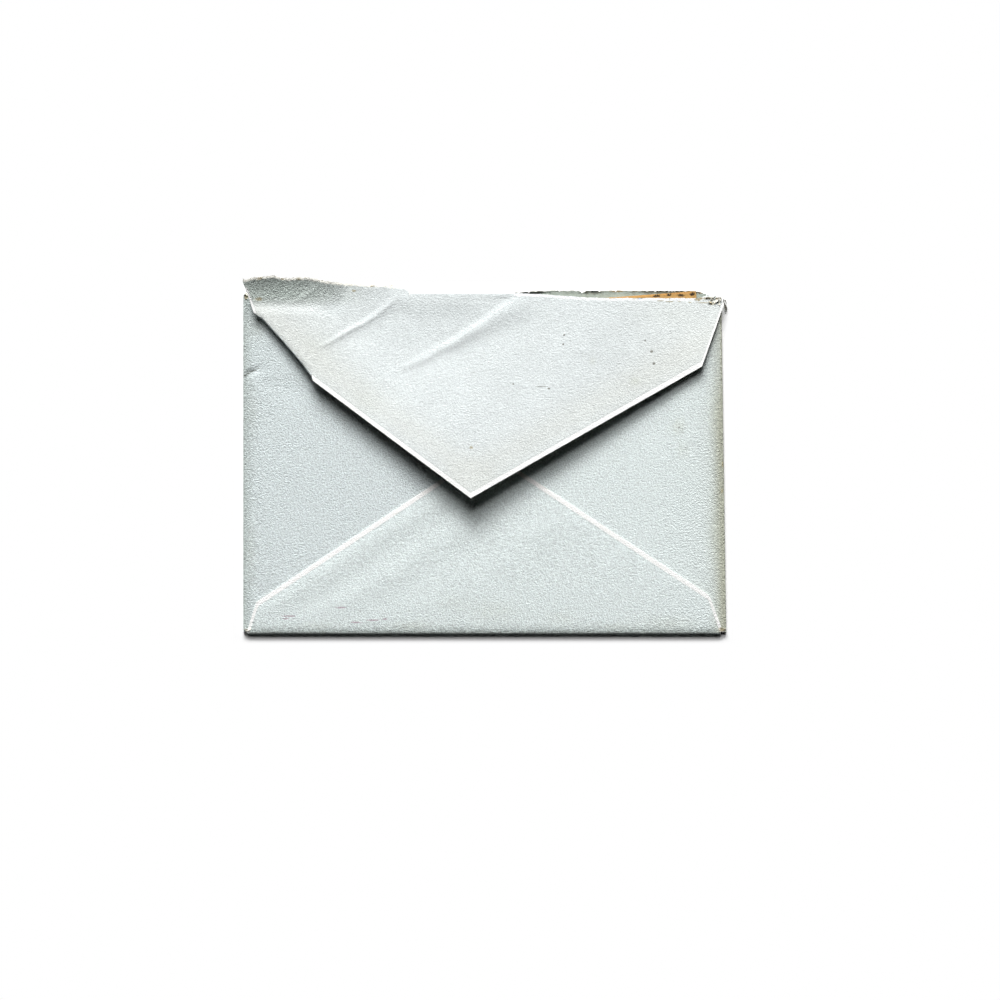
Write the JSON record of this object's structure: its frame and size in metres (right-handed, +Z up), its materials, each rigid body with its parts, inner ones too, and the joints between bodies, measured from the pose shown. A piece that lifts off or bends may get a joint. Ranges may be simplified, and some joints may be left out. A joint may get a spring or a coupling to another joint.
{
  "type": "paper envelope",
  "caption": "Small baronial paper envelope, torn open along its top fold, flap sprung up, with a folded letter inside.",
  "frame": {"origin": "centre of the address side's lower face, between the four folds", "axes": "+X along the width, +Y from the bottom fold towards the torn top edge, +Z up out of the flap side"},
  "size_m": [0.1312, 0.0961, 0.006],
  "materials": {
    "envelope_paper": "matt wove writing paper, pale blue grey with a white border along each cut edge",
    "letter_paper": "matt tan writing paper"
  },
  "bodies": {
    "root": {"envelope": "envelope_paper", "letter": "letter_paper"}
  },
  "joints": []
}
